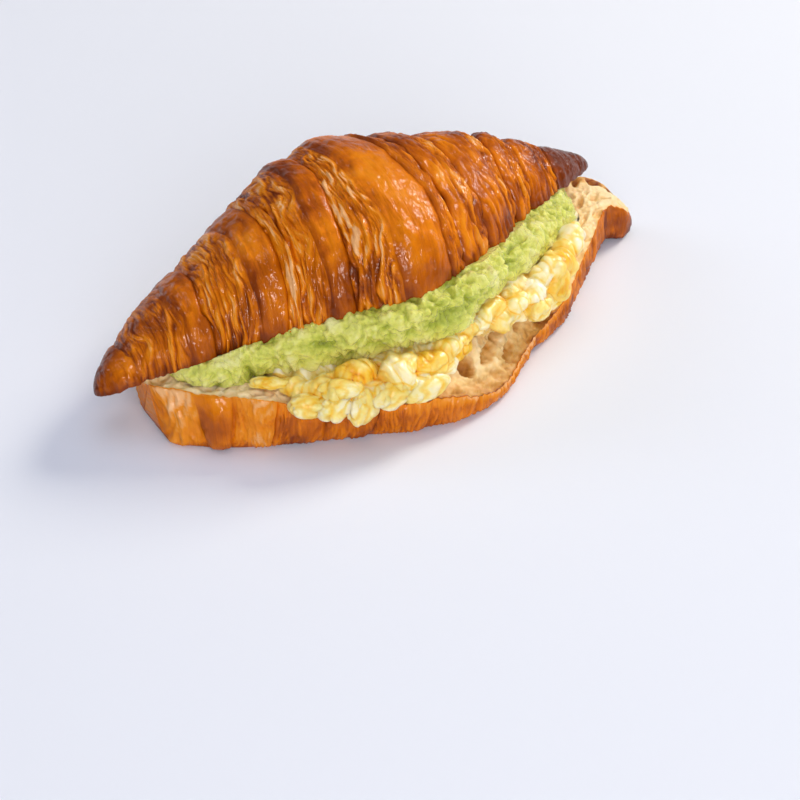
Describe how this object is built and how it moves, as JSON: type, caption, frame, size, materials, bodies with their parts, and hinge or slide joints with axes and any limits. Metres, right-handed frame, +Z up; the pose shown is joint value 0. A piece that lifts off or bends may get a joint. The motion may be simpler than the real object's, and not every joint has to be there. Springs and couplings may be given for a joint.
{
  "type": "croissant sandwich",
  "caption": "Baked croissant split in two halves round layers of scrambled egg and mashed avocado that bulge out along one open side.",
  "frame": {"origin": "on the surface it stands on, under the middle of the whole sandwich's box", "axes": "+X along the croissant from its left tip to its right one, -Y out of the open front where the filling shows, +Z up"},
  "size_m": [0.1792, 0.0954, 0.0594],
  "materials": {
    "croissant_base": "baked laminated dough, golden sides and pale open crumb on the cut face",
    "croissant_top": "egg-washed baked crust, glossy amber-brown with paler laminated folds",
    "scrambled_egg": "soft moist curds",
    "mashed_avocado": "wet coarse mash"
  },
  "bodies": {
    "root": {"croissant_base": "croissant_base", "croissant_top": "croissant_top", "scrambled_egg": "scrambled_egg", "mashed_avocado": "mashed_avocado"}
  },
  "joints": []
}
